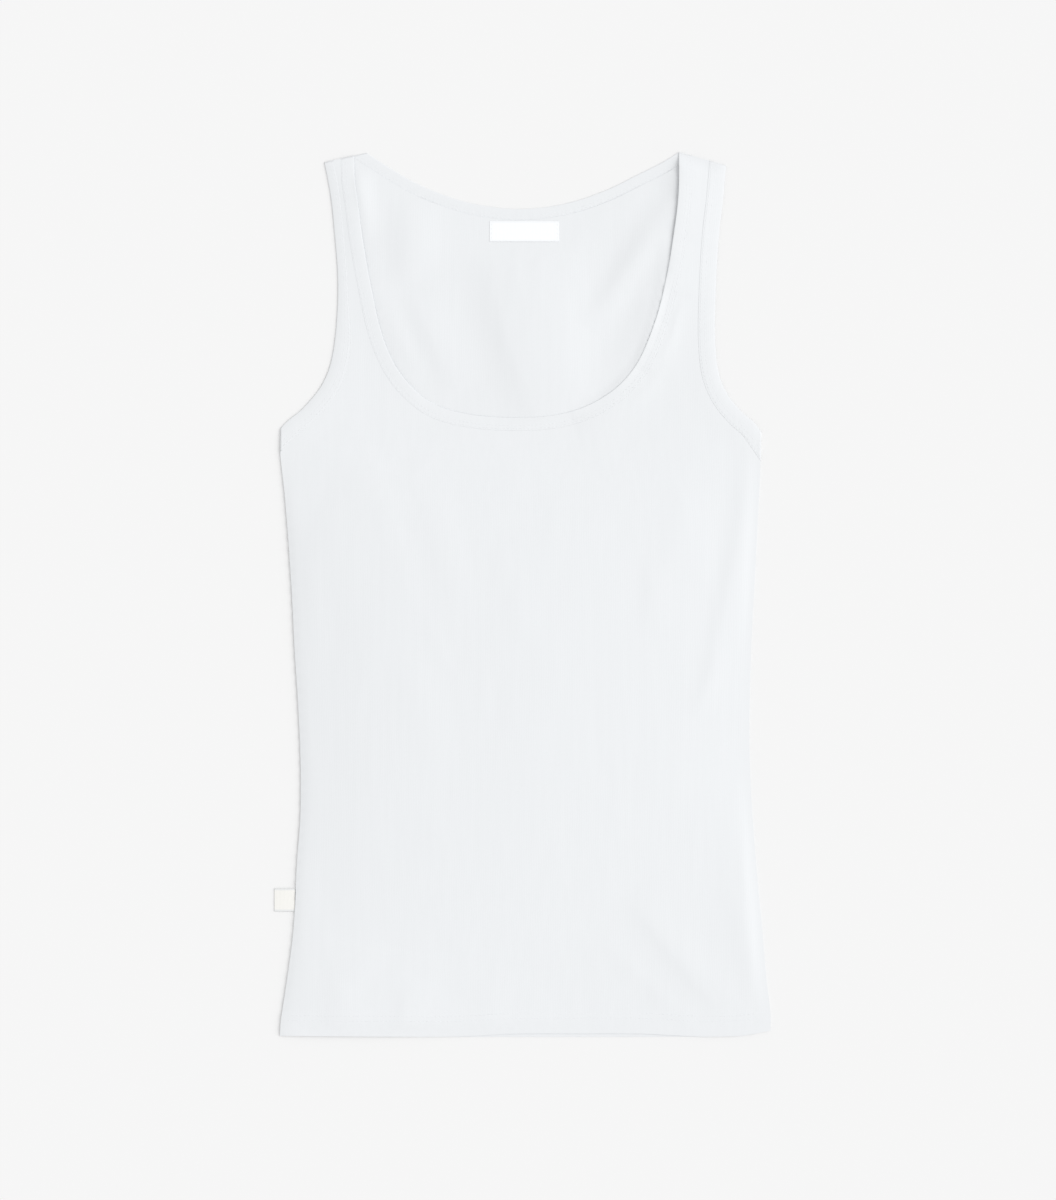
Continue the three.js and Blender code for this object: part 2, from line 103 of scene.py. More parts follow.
# Neck edges from the left strap's top round the scoop to the right strap's top
frontNeck = [
    (-128.1, 333.9), (-127.6, 316.0), (-125.0, 296.0), (-120.8, 265.0), (-114.8, 232.0),
    (-109.2, 206.0), (-102.6, 186.0), (-93.2, 168.6), (-80.0, 153.9), (-65.0, 143.8),
    (-40.0, 137.0), (-5.7, 134.6), (21.3, 136.0), (42.0, 140.8), (60.0, 149.3), (75.0, 160.6),
    (88.0, 177.4), (101.2, 209.1), (109.3, 241.0), (114.8, 273.2), (118.4, 303.0), (119.0, 336.5),
]
backNeck = [
    (-118.6, 336.0), (-100.7, 324.4), (-84.1, 314.5), (-59.4, 303.8), (-34.7, 296.8),
    (-3.0, 293.4), (30.8, 297.0), (62.7, 307.2), (86.9, 319.0), (107.5, 329.4), (118.9, 336.6),
]
hemLine = [
    (-184.7, -335.8), (-90.0, -336.5), (10.0, -336.7), (110.0, -336.5), (168.0, -335.6),
    (188.8, -331.8),
]
hemRise = {"from": -22.0, "to": 104.0, "rise": 2.6}  # here the front hem sits higher than the back's

# Creases: start, middle and end of each line, its height (a trough's is below zero), and how
# wide its flanks are on the photo's left and right. All lines run down the garment.
frontCreases = [
    # side waist, right: the long crease that bends in from the side seam
    ((172, 118), (161.5, 20), (133, -92), 1.0, 8.5, 20.0),
    # right hem corner: the steep one by the side seam, and the slanting pair
    ((156, -140), (172, -228), (182, -320), 1.2, 26.0, 24.0),
    ((158, -222), (170, -262), (180, -312), 0.3, 8.0, 8.0),
    ((82, -226), (112, -268), (158, -322), 0.8, 8.0, 16.0),
    ((60, -262), (96, -296), (130, -330), 0.3, 9.0, 7.0),
    # upper left, faint, from under the armhole towards the waist
    ((-122, 112), (-100, 50), (-84, -20), 0.35, 14.0, 10.0),
    ((-150, 70), (-142, 30), (-134, -30), 0.3, 10.0, 12.0),
    ((-76, 92), (-58, 34), (-46, -20), 0.5, 13.0, 14.0),
    ((-92, -40), (-78, -84), (-66, -140), 0.35, 14.0, 14.0),
    ((-14, 40), (-6, 0), (2, -44), 0.3, 10.0, 12.0),
    # middle right, short
    ((96, 34), (98, 4), (96, -32), 0.45, 6.0, 12.0),
    ((148, -40), (142, -66), (130, -94), 0.4, 6.0, 8.0),
    ((120, 90), (120, 52), (116, 10), 0.45, 12.0, 18.0),
    # lower left, short slanting ones above the hem
    ((-92, -262), (-112, -292), (-146, -322), -0.28, 9.0, 9.0),
    ((-80, -290), (-88, -314), (-96, -342), 0.65, 9.0, 18.0),
    ((-132, -296), (-140, -318), (-146, -342), 0.45, 8.0, 18.0),
    ((-128, -262), (-134, -305), (-136, -348), 1.1, 28.0, 90.0),
    ((-44, -150), (-36, -250), (-30, -345), 1.6, 60.0, 110.0),
    ((-30, -286), (-26, -312), (-22, -338), 0.3, 12.0, 14.0),
    # side waist, left
    ((-156, 62), (-158, 10), (-154, -56), 0.4, 8.0, 10.0),
    # the right strap's inner edge stands up off the back
    ((118.9, 350), (118.0, 297), (105.6, 230), 2.8, 5.2, 23.0),
    ((118.9, 350), (118.0, 297), (105.6, 230), 0.7, 5.2, 10.0),
    ((115.2, 268), (104.6, 218), (86.0, 173), 2.2, 3.6, 21.0),
    ((102, 208), (79, 164), (36, 137.8), 1.8, 3.2, 22.0),
    # the left strap's inner edge, a little
    ((-130, 338), (-125, 284), (-108, 200), 0.9, 12.0, 12.0),
    ((-116, 236), (-100, 184), (-72, 148), 0.6, 12.0, 12.0),
    # short puckers in the cloth beside the neck seam
    ((122, 226), (116, 204), (106, 176), 0.35, 3.0, 5.0),
    ((104, 172), (96, 158), (80, 144), 0.3, 3.0, 5.0),
]
backCreases = [
    # from the left strap down: a bright flank under the strap, a valley, then a swell
    ((-127, 336), (-124, 304), (-117, 270), 1.3, 6.0, 9.0),
    ((-85, 304), (-84, 268), (-88, 234), 1.6, 13.0, 19.0),
    ((-82, 236), (-68, 196), (-46, 154), 1.2, 11.0, 20.0),
    ((-106, 232), (-94, 196), (-76, 164), 0.6, 7.0, 8.0),
    # the broad swell in the middle, steeper on its left
    ((-22, 262), (-10, 196), (20, 124), 1.6, 15.0, 44.0),
    ((24, 272), (26, 204), (32, 104), 2.4, 60.0, 28.0),
    # right: two slanting folds that run down from under the strap
    ((114, 304), (90, 262), (50, 202), 2.2, 10.0, 12.0),
    ((121, 272), (99, 210), (70, 146), 1.9, 16.0, 12.0),
    # it rises a little under the right strap's inner edge, and with it lower down
    ((118.9, 350), (117.4, 297), (105.0, 230), 1.3, 8.0, 10.0),
    ((115.2, 268), (104.6, 218), (86.0, 173), 1.6, 3.6, 10.0),
    ((102, 208), (79, 164), (36, 137.8), 1.4, 3.2, 10.0),
    ((96, 312), (76, 296), (48, 284), 0.3, 9.0, 9.0),
    # under the label, faint
    ((-6, 262), (-4, 240), (-2, 214), 0.25, 7.0, 7.0),
    ((14, 262), (12, 236), (12, 208), 0.25, 7.0, 7.0),
]

print("tank top: edges and creases set")


# A smooth curve through a few points: a Catmull-Rom spline whose spans are weighted by the
# square root of their length. Comes back as a dense line of points at even steps.
def curveThrough(table, count=400):
    p = np.array(table, float)
    p = np.vstack([2 * p[0] - p[1], p, 2 * p[-1] - p[-2]])
    step = np.sqrt(np.linalg.norm(np.diff(p, axis=0), axis=1))
    p0, p1, p2, p3 = p[:-3], p[1:-2], p[2:-1], p[3:]
    d0, d1, d2 = (step[:-2, None], step[1:-1, None], step[2:, None])
    slope1 = ((p1 - p0) / d0 - (p2 - p0) / (d0 + d1) + (p2 - p1) / d1) * d1
    slope2 = ((p2 - p1) / d1 - (p3 - p1) / (d1 + d2) + (p3 - p2) / d2) * d1
    t = np.linspace(0, 1, 24, endpoint=False)[:, None, None]
    spans = (
        (2 * t**3 - 3 * t**2 + 1) * p1 + (t**3 - 2 * t**2 + t) * slope1
        + (3 * t**2 - 2 * t**3) * p2 + (t**3 - t**2) * slope2
    )
    line = np.vstack([np.swapaxes(spans, 0, 1).reshape(-1, 2), p2[-1:]])
    return evenly(line, count)


# The same line read again at even steps of its length
def evenly(line, count):
    reach = np.concatenate([[0], np.cumsum(np.linalg.norm(np.diff(line, axis=0), axis=1))])
    at = np.linspace(0, reach[-1], count + 1)
    return np.column_stack([np.interp(at, reach, line[:, k]) for k in range(line.shape[1])])


def lengthOf(line):
    return float(np.linalg.norm(np.diff(line, axis=0), axis=1).sum())


# The unit normals to the left of a line
def leftOf(line):
    heading = np.gradient(line, axis=0)
    heading /= np.linalg.norm(heading, axis=1)[:, None]
    return np.column_stack([-heading[:, 1], heading[:, 0]])


def beside(line, width):
    return line + leftOf(line) * np.broadcast_to(np.asarray(width, float), len(line))[:, None]


def between(start, end, count):
    t = np.linspace(0, 1, count + 1)[:, None]
    return np.asarray(start) * (1 - t) + np.asarray(end) * t


def smoothRise(share):
    t = np.clip(share, 0, 1)
    return t * t * (3 - 2 * t)


lines = {
    "leftSide": curveThrough(leftSide), "rightSide": curveThrough(rightSide),
    "leftArmhole": curveThrough(leftArmhole), "rightArmhole": curveThrough(rightArmhole),
    "frontNeck": curveThrough(frontNeck), "backNeck": curveThrough(backNeck),
    "hem": curveThrough(hemLine),
}

# Shoulder seams, both listed in the direction of +X
shoulders = {
    "left": (lines["leftArmhole"][-1], lines["backNeck"][0]),
    "right": (lines["backNeck"][-1], lines["rightArmhole"][-1]),
}

# The outline that front and back share: closed all round but for the hem, and finished with a
# pressed edge at the armholes and the hem
boundEdges = np.vstack([
    lines["leftArmhole"], lines["rightArmhole"],
    between(*shoulders["left"], 40), between(*shoulders["right"], 40),
])
closedEdges = np.vstack([lines["leftSide"], lines["rightSide"], boundEdges])
pressedEdges = np.vstack([lines["leftArmhole"], lines["rightArmhole"], lines["hem"]])
sharedOutline = np.vstack([closedEdges, lines["hem"]])


# How far each spot lies from the nearest point of a line
def distanceTo(line, x, y):
    spots = np.column_stack([x.ravel(), y.ravel()])
    found = np.empty(len(spots))
    for start in range(0, len(spots), 4000):
        part = spots[start:start + 4000]
        gap = part[:, None, :] - line[None, ::2, :]
        found[start:start + 4000] = np.sqrt((gap**2).sum(axis=2).min(axis=1))
    return found.reshape(x.shape)


# A crease's height at each spot: a bell across its curved line, wider on one side than on the
# other, that grows from nothing at one end and fades to nothing at the other
def creaseHeight(creases, x, y):
    total = np.zeros_like(x)
    for start, middle, end, height, leftWide, rightWide in creases:
        t = np.linspace(0, 1, 25)[:, None]
        p0, p1, p2 = (np.array(p, float) for p in (start, middle, end))
        path = p0 * (1 - t) * (1 - 2 * t) + p1 * 4 * t * (1 - t) + p2 * t * (2 * t - 1)
        reach = 3.2 * max(leftWide, rightWide)
        low, high = path.min(axis=0) - reach, path.max(axis=0) + reach
        near = (x > low[0]) & (x < high[0]) & (y > low[1]) & (y < high[1])
        if not near.any():
            continue
        spots = np.column_stack([x[near], y[near]])
        best = np.full(len(spots), 1e9)
        across = np.zeros(len(spots))
        along = np.zeros(len(spots))
        for k in range(len(path) - 1):
            a, way = path[k], path[k + 1] - path[k]
            size = np.linalg.norm(way)
            off = spots - a
            share = np.clip((off @ way) / size**2, 0, 1)
            gap = off - share[:, None] * way
            away = np.linalg.norm(gap, axis=1)
            closer = away < best
            side = np.sign(way[1] * off[:, 0] - way[0] * off[:, 1])
            best[closer] = away[closer]
            across[closer] = (side * away)[closer]
            along[closer] = (k + share[closer]) / (len(path) - 1)
        wide = np.where(across > 0, leftWide, rightWide)
        taper = np.sin(np.pi * np.clip(along, 0, 1)) ** 0.8
        total[near] += height * taper * np.exp(-(across / wide) ** 2)
    return total


# Small uneven creases that no one places by hand: short, low, mostly up and down
small = {"length": (25, 85), "lean": 0.28, "bend": 3, "wide": (6, 13), "rightShare": (0.7, 1.4)}


def smallCreases(seed, count, low, high, tall):
    rng = np.random.default_rng(seed)
    found = []
    for _ in range(count):
        x, y = rng.uniform(low[0], high[0]), rng.uniform(low[1], high[1])
        length, lean = rng.uniform(*small["length"]), rng.normal(0, small["lean"])
        wayX, wayY = math.sin(lean) * length / 2, -math.cos(lean) * length / 2
        bend = rng.normal(0, small["bend"])
        height, wide = rng.uniform(-tall, tall), rng.uniform(*small["wide"])
        found.append((
            (x - wayX, y - wayY), (x + bend, y), (x + wayX, y + wayY),
            height, wide, wide * rng.uniform(*small["rightShare"]),
        ))
    return found


frontSmall = smallCreases(11, 70, (-170, -320), (170, 130), 0.16)
backSmall = smallCreases(5, 16, (-100, 150), (100, 285), 0.14)
hemY = hemLine[0][1]


# The side seams' rolled edge: steep at the seam and level a little further in. It flattens out
# at the underarms and at the hem's corners.
def sideRoll(x, y):
    foot = rollFade["footShare"]
    ends = smoothRise((rollFade["top"] - y) / rollFade["topFade"])
    ends = ends * (foot + (1 - foot) * smoothRise((y - hemY) / rollFade["footFade"]))
    rise = np.zeros_like(x)
    for name, roll in sideRolls.items():
        near = (x < 0) == (name == "leftSide")
        away = distanceTo(lines[name], x[near], y[near])
        inward = smoothRise((rollFade["reach"] - away) / rollFade["reachFade"])
        rise[near] = roll["height"] * (1 - np.exp(-away / roll["wide"])) * inward
    return rise * ends


# One inside the neck opening and nought under the front, by the side of the front's neck edge
def inOpening(x, y):
    edge = lines["frontNeck"]
    lowest = int(np.argmin(edge[:, 1]))
    left = np.interp(y, edge[:lowest + 1][::-1, 1], edge[:lowest + 1][::-1, 0])
    right = np.interp(y, edge[lowest:, 1], edge[lowest:, 0])
    return ((y > edge[lowest, 1]) & (x > left) & (x < right)).astype(float)


# Height of the front above its seam level, and of the back above the surface it lies on
def frontRise(x, y):
    edge = distanceTo(sharedOutline, x, y)
    loose = smoothRise(distanceTo(lines["frontNeck"], x, y) / cloth["neckMargin"])
    inward = np.clip(distanceTo(closedEdges, x, y) / cloth["crownWide"], 0, 1)
    crown = 1 - (1 - inward) ** cloth["crownPower"]
    crown = crown * smoothRise((cloth["crownTop"] - y) / cloth["crownTopFade"])
    crown = crown * smoothRise((y - hemY - cloth["crownFoot"]) / cloth["crownFootFade"])
    folds = creaseHeight(frontCreases, x, y) + creaseHeight(frontSmall, x, y)
    return (cloth["air"] * smoothRise(edge / cloth["airMargin"]) * loose + cloth["crown"] * crown
            + sideRoll(x, y) + smoothRise(edge / cloth["foldMargin"]) * folds)


def backRise(x, y):
    folds = creaseHeight(backCreases, x, y) + creaseHeight(backSmall, x, y)
    form = backForm
    inside = smoothRise((distanceTo(sharedOutline, x, y) - form["edge"]) / form["edgeFade"])
    beyond = distanceTo(lines["frontNeck"], x, y) * (2 * inOpening(x, y) - 1)
    swell = form["swell"] * smoothRise(beyond / form["swellWide"])
    swell = swell * smoothRise((y - form["swellFoot"]) / form["fade"])
    under = smoothRise((beyond + form["underFront"]) / form["underFront"])
    lift = np.maximum(folds, 0) * under + swell
    return lift * smoothRise((y - form["levelBelow"]) / form["fade"]) * inside


# The larger of two heights, with a soft passage from one to the other
def softMax(a, b, soft=0.2):
    return (a + b + np.sqrt((a - b) ** 2 + soft**2)) / 2


# The share of a wall's height that is left: pressed edges thin out
def unpressed(x, y):
    return 1 - cloth["pressed"] * np.exp(-distanceTo(pressedEdges, x, y) / cloth["pressedWide"])


# The hem's two layers end in a soft step at their stitching
def hemShare(y):
    step = cloth["hemStep"]
    return smoothRise((hemY + cloth["hemDepth"] + step / 2 - y) / step)


# Four edges filled with points: the mean of the two rows and the two columns, less the
# corners that they share
def fillBetween(lower, upper, left, right):
    s = np.linspace(0, 1, len(lower))[None, :, None]
    t = np.linspace(0, 1, len(left))[:, None, None]
    return (
        (1 - t) * lower[None] + t * upper[None] + (1 - s) * left[:, None] + s * right[:, None]
        - (1 - s) * (1 - t) * lower[0] - s * (1 - t) * lower[-1]
        - (1 - s) * t * upper[0] - s * t * upper[-1]
    )


def sideAt(side, y):
    return np.array([np.interp(y, side[:, 1], side[:, 0]), y])


# The seam beside an armhole edge, which ends where it runs into the side seam
def armholeSeam(armhole, side, sign, width):
    line = beside(armhole, sign * width)
    inside = sign * (np.interp(line[:, 1], side[:, 1], side[:, 0]) - line[:, 0]) > 10
    line = line[np.argmax(inside):]
    slope = (line[0, 1] - line[12, 1]) / (line[0, 0] - line[12, 0])
    end = sideAt(side, line[0, 1])
    for _ in range(6):
        end = sideAt(side, line[0, 1] + slope * (end[0] - line[0, 0]))
    return np.vstack([end, line])


# A seam is lengthened or cut so that it ends on the shoulder seam
def endOnShoulder(line, shoulder):
    start, way = shoulder[0], shoulder[1] - shoulder[0]
    ahead = line[-1] - line[-4]
    line = np.vstack([line, line[-1] + 25 * ahead / np.linalg.norm(ahead)])
    beyond = (way[0] * (line - start)[:, 1] - way[1] * (line - start)[:, 0])
    k = int(np.argmax(beyond > 0))
    share = beyond[k - 1] / (beyond[k - 1] - beyond[k])
    return np.vstack([line[:k], line[k - 1] + share * (line[k] - line[k - 1])])


def neckSeam(edge, width):
    line = endOnShoulder(beside(edge, -width), shoulders["right"])
    return endOnShoulder(line[::-1], shoulders["left"])[::-1]


alongLeft = np.linspace(0, 1, len(lines["leftArmhole"]))
leftWidth = cloth["armholeBinding"] + (
    cloth["leftBindingAtStrap"] - cloth["armholeBinding"]) * smoothRise((alongLeft - 0.3) / 0.3)
armSeams = {
    "left": endOnShoulder(
        armholeSeam(lines["leftArmhole"], lines["leftSide"], -1, leftWidth), shoulders["left"]),
    "right": endOnShoulder(
        armholeSeam(lines["rightArmhole"], lines["rightSide"], 1, cloth["armholeBinding"]),
        shoulders["right"]),
}


def splitAt(line, test):
    k = int(np.argmax(test))
    return line[:k + 1], line[k:]


# One panel's grids: the body up to the underarms, the yoke up to the neck seam, and two straps.
# The corners say at which height each strap starts on the neck seam and on the armhole seams.
def panelGrids(neckSeam, corner, hem, columns, rows):
    strapColumns, neckColumns = columns
    bodyRows, yokeRows, strapRows = rows
    tops = [armSeams["left"][0], armSeams["right"][0]]
    sides = []
    for side, top, foot in zip(("leftSide", "rightSide"), tops, (hem[0], hem[-1])):
        line = lines[side]
        line = np.vstack([foot, line[(line[:, 1] > foot[1]) & (line[:, 1] < top[1] - 0.2)], top])
        sides.append(evenly(line, bodyRows))
    count = neckColumns + 2 * strapColumns
    underarm = between(tops[0], tops[1], count)
    body = fillBetween(evenly(hem, count), underarm, *sides)
    leftNeck, rest = splitAt(neckSeam, neckSeam[:, 1] < corner["leftY"])
    rightNeck, scoop = splitAt(rest[::-1], rest[::-1, 1] < corner["rightY"])
    scoop = evenly(scoop[::-1], neckColumns)
    leftLow, leftHigh = splitAt(armSeams["left"], armSeams["left"][:, 1] > corner["armY"])
    rightLow, rightHigh = splitAt(armSeams["right"], armSeams["right"][:, 1] > corner["armY"])
    leftBase = between(leftHigh[0], scoop[0], strapColumns)
    rightBase = between(scoop[-1], rightHigh[0], strapColumns)
    yokeTop = np.vstack([leftBase, scoop[1:], rightBase[1:]])
    yoke = fillBetween(underarm, yokeTop, evenly(leftLow, yokeRows), evenly(rightLow, yokeRows))
    outer, inner = evenly(leftHigh, strapRows), evenly(leftNeck[::-1], strapRows)
    leftStrap = fillBetween(leftBase, between(outer[-1], inner[-1], strapColumns), outer, inner)
    outer, inner = evenly(rightHigh, strapRows), evenly(rightNeck[::-1], strapRows)
    rightStrap = fillBetween(rightBase, between(inner[-1], outer[-1], strapColumns), inner, outer)
    return [body, yoke, leftStrap, rightStrap]


def meshObject(name, points, faces, uv=None):
    mesh = bpy.data.meshes.new(name)
    mesh.from_pydata((np.asarray(points) * mm).tolist(), [], faces)
    mesh.update()
    mesh.polygons.foreach_set("use_smooth", np.ones(len(mesh.polygons), bool))
    if uv is not None:
        layer = mesh.uv_layers.new(name="cloth")
        corners = np.empty(len(mesh.loops), int)
        mesh.loops.foreach_get("vertex_index", corners)
        layer.data.foreach_set("uv", (np.asarray(uv) * mm)[corners].ravel())
    made = bpy.data.objects.new(name, mesh)
    bpy.context.scene.collection.objects.link(made)
    return made


# A thin shell over grids that share their edges: upper face, lower face, and a rim that bulges
# out half way up, along every edge that belongs to one cell only
def clothShell(name, grids, lowAt, highAt, bulge=0.0):
    spots = np.vstack([g.reshape(-1, 2) for g in grids])
    start, cells = 0, []
    for g in grids:
        rows, cols = g.shape[:2]
        k = start + np.arange(rows * cols).reshape(rows, cols)
        cells.append(np.stack([k[:-1, :-1], k[:-1, 1:], k[1:, 1:], k[1:, :-1]], -1).reshape(-1, 4))
        start += rows * cols
    _, first, same = np.unique(np.round(spots, 2), axis=0, return_index=True, return_inverse=True)
    spots, cells = spots[first], same.ravel()[np.vstack(cells)]
    x, y = spots[:, 0], spots[:, 1]
    a, b = cells.ravel(), np.roll(cells, -1, axis=1).ravel()
    rim = ~np.isin(a * len(spots) + b, b * len(spots) + a)
    a, b = a[rim], b[rim]
    outward = np.zeros_like(spots)
    for end in (a, b):
        np.add.at(outward, end, np.column_stack([spots[b, 1] - spots[a, 1], spots[a, 0] - spots[b, 0]]))
    outward /= np.maximum(np.linalg.norm(outward, axis=1), 1e-9)[:, None]
    low, high = lowAt(x, y), highAt(x, y)
    onRim = np.unique(a)
    middle = np.full(len(spots), -1)
    middle[onRim] = 2 * len(spots) + np.arange(len(onRim))
    waist = spots[onRim] + bulge * outward[onRim]
    points = np.vstack([
        np.column_stack([x, y, high]), np.column_stack([x, y, low]),
        np.column_stack([waist, (low + high)[onRim] / 2]),
    ])
    under = len(spots)
    faces = np.vstack([
        cells, under + cells[:, ::-1],
        np.column_stack([b, a, middle[a], middle[b]]),
        np.column_stack([middle[b], middle[a], under + a, under + b]),
    ])
    made = meshObject(name, points, faces.tolist())
    # the faces keep their own shading up to the rim
    ends = np.empty(2 * len(made.data.edges), int)
    made.data.edges.foreach_get("vertices", ends)
    atRim = np.isin(ends.reshape(-1, 2), np.concatenate([onRim, under + onRim])).all(axis=1)
    made.data.edges.foreach_set("use_edge_sharp", atRim)
    return made


# The front lies on the back panel, and along the armholes on the back's thicker bindings
boundReach = 14.0


def onBack(x, y):
    bound = 1 - smoothRise((distanceTo(boundEdges, x, y) - boundReach) / boundReach)
    step = (cloth["bindingWall"] - cloth["wall"]) * bound
    under = (cloth["wall"] + step + cloth["hemExtra"] * hemShare(y)) * unpressed(x, y)
    return under + cloth["layerGap"] + softMax(frontRise(x, y), backRise(x, y))


def frontHigh(x, y):
    return onBack(x, y) + (cloth["wall"] + cloth["hemExtra"] * hemShare(y)) * unpressed(x, y)


def backLow(x, y):
    lift = backRise(x, y)
    return np.where(lift < 0.03, 0, lift)


def backHigh(x, y):
    return backLow(x, y) + (cloth["wall"] + cloth["hemExtra"] * hemShare(y)) * unpressed(x, y)


seams = {
    "frontNeck": neckSeam(lines["frontNeck"], cloth["frontNeckBinding"]),
    "backNeck": neckSeam(lines["backNeck"], cloth["backNeckBinding"]),
}
riseMiddle = (hemRise["from"] + hemRise["to"]) / 2
riseReach = (hemRise["to"] - hemRise["from"]) / 2
frontHem = lines["hem"].copy()
riseShare = smoothRise(1.6 - np.abs(frontHem[:, 0] - riseMiddle) / riseReach)
frontHem[:, 1] += hemRise["rise"] * riseShare

backPanel = clothShell(
    "back_panel_cloth",
    panelGrids(seams["backNeck"], {"leftY": 298, "rightY": 300, "armY": 250}, lines["hem"],
               (14, 150), (56, 96, 24)),
    backLow, backHigh,
)
frontPanel = clothShell(
    "front_panel_cloth",
    panelGrids(seams["frontNeck"], {"leftY": 164, "rightY": 166, "armY": 164}, frontHem,
               (20, 110), (236, 26, 90)),
    onBack, frontHigh,
)
print("tank top: back and front panels made")

# A binding is a folded strip: its profile is a closed loop of (share of the way from finished
# edge to seam, share of the wall's height), rounded at the fold and eased down at the seam
bindingProfile = np.array([
    (0.0, 0.45), (0.006, 0.68), (0.016, 0.84), (0.036, 0.94), (0.1, 1.0), (0.4, 1.02), (0.56, 1.0),
    (0.62, 0.97), (0.68, 1.0), (0.8, 0.97), (0.87, 0.91), (0.93, 0.84), (0.985, 0.78), (0.998, 0.77),
    (1.0, 0.7), (1.0, 0.3), (0.97, 0.06), (0.5, 0.0), (0.06, 0.0), (0.016, 0.06), (0.006, 0.22),
])

# The neck's binding eases down all the way, so that its seam hardly shows
neckProfile = bindingProfile.copy()
neckProfile[2:14, 1] = [0.82, 0.9, 0.94, 0.92, 0.89, 0.86, 0.87, 0.83, 0.81, 0.79, 0.775, 0.77]


# At the bottom of the scoop the neck binding thins out to its edge too
scoop = {"middle": -22.0, "half": 56.0, "top": 165.0}
atScoop = np.abs(lines["frontNeck"][:, 0] - scoop["middle"]) < scoop["half"]
scoopBottom = lines["frontNeck"][atScoop & (lines["frontNeck"][:, 1] < scoop["top"])]


def thinAtScoop(x, y):
    near = np.exp(-distanceTo(scoopBottom, x, y) / cloth["pressedWide"])
    return 1 - cloth["pressedAtScoop"] * near


# How finely a strip is cut along its length, its usual width, and the small puckers that the
# stitching draws it into
strip = {"step": 1.6, "width": 11.0, "pucker": 0.03, "puckerPitch": 6.4, "puckerAt": 0.75,
         "puckerWide": 0.2}


# The profile carried along the strip from edge line to seam line, on the height below it
def bindingStrip(name, edge, seam, lower, thinned=unpressed, profile=bindingProfile):
    count = int(lengthOf(edge) / strip["step"])
    edge, seam = evenly(edge, count), evenly(seam, count)
    share, tall = profile[:, 0], profile[:, 1]
    spots = edge[:, None] * (1 - share)[None, :, None] + seam[:, None] * share[None, :, None]
    along = np.linspace(0, lengthOf(edge), count + 1)
    x, y = spots[..., 0], spots[..., 1]
    pucker = strip["pucker"] * np.sin(along * 2 * np.pi / strip["puckerPitch"])[:, None]
    pucker = pucker * np.exp(-((share - strip["puckerAt"]) / strip["puckerWide"]) ** 2)
    z = lower(x, y) + (tall * cloth["bindingWall"] + pucker * (tall > 0.5)) * thinned(x, y)
    points = np.dstack([x, y, z]).reshape(-1, 3)
    across = np.concatenate([[0], np.cumsum(np.linalg.norm(np.diff(
        profile * [strip["width"], cloth["bindingWall"]], axis=0), axis=1))])
    uv = np.dstack(np.broadcast_arrays(along[:, None], across[None])).reshape(-1, 2)
    k = np.arange(len(points)).reshape(count + 1, len(share))
    right = np.roll(k, -1, axis=1)
    faces = np.stack([k[:-1], k[1:], right[1:], right[:-1]], -1).reshape(-1, 4).tolist()
    faces += [k[0].tolist(), k[-1, ::-1].tolist()]
    p = points[:, :2].reshape(count + 1, len(share), 2)
    turn = np.cross(p[1, 6] - p[0, 6], p[0, 12] - p[0, 2])
    if turn > 0:
        faces = [face[::-1] for face in faces]
    return meshObject(name, points, faces, uv)


def flatOnSurface(x, y):
    return np.zeros_like(x)


def acrossSeam(seam, sign, name):
    return seam + sign * leftOf(seam) * seamOpen[name]


neckBack = bindingStrip(
    "neck_binding_back_cloth", lines["backNeck"], acrossSeam(seams["backNeck"], 1, "neck"),
    flatOnSurface, profile=neckProfile)
neckFront = bindingStrip(
    "neck_binding_front_cloth", lines["frontNeck"], acrossSeam(seams["frontNeck"], 1, "neck"),
    onBack, thinAtScoop, neckProfile)
armBindings = {}
for side, sign in (("left", 1), ("right", -1)):
    for run, lower in (("back", flatOnSurface), ("front", onBack)):
        armBindings[side, run] = bindingStrip(
            f"armhole_binding_{side}_{run}_cloth", lines[f"{side}Armhole"],
            acrossSeam(armSeams[side], sign, side), lower)
print("tank top: bindings made")

# Blank neck label and side tab
label = {"left": -24.8, "right": 27.7, "bottom": 268.6, "top": 284.2, "wall": 0.22, "proud": 0.1,
         "rim": 0.15}
tab = {"outer": -188.6, "bottom": -241.0, "top": -223.8, "wall": 0.55, "seamAt": -232.0, "gap": 0.45,
       "parted": 0.15, "fold": 0.05, "rim": 0.3}


def patch(left, right, bottom, top, columns, rows):
    return fillBetween(
        between((left, bottom), (right, bottom), columns), between((left, top), (right, top), columns),
        between((left, bottom), (left, top), rows), between((right, bottom), (right, top), rows))


# The label lies on the back, its ends held down and its lower edge a little proud
def labelLow(x, y):
    along = (x - label["left"]) / (label["right"] - label["left"])
    down = (label["top"] - y) / (label["top"] - label["bottom"])
    proud = np.sin(np.pi * np.clip(along, 0, 1)) * np.clip(down, 0, 1) ** 1.5
    return backHigh(x, y) + cloth["layerGap"] + label["proud"] * proud


neckLabel = clothShell(
    "neck_label_cloth", [patch(label["left"], label["right"], label["bottom"], label["top"], 60, 20)],
    labelLow, lambda x, y: labelLow(x, y) + label["wall"], label["rim"])

tabInner = float(sideAt(lines["leftSide"], tab["seamAt"])[0]) - tab["gap"]


# The tab is a ribbon folded in half: its fold is the outer end, its layers part a little before it
def tabHigh(x, y):
    out = (tabInner - x) / (tabInner - tab["outer"])
    parted = np.sin(np.pi * np.clip(out, 0, 1)) ** 0.8
    return tab["wall"] + tab["parted"] * parted + tab["fold"] * out


sideTab = clothShell(
    "side_tab_cloth", [patch(tab["outer"], tabInner, tab["bottom"], tab["top"], 26, 28)],
    flatOnSurface, tabHigh, tab["rim"])
print("tank top: label and tab made")

# Stitches: each is a short thread that rises out of the cloth and dips back in. Their ring
# radii swell from nothing to the thread's radius and back.
stitch = {"pitch": 3.1, "length": 2.5, "radius": 0.18, "rings": 7, "sides": 6, "arch": 0.11,
          "sunk": 0.12}

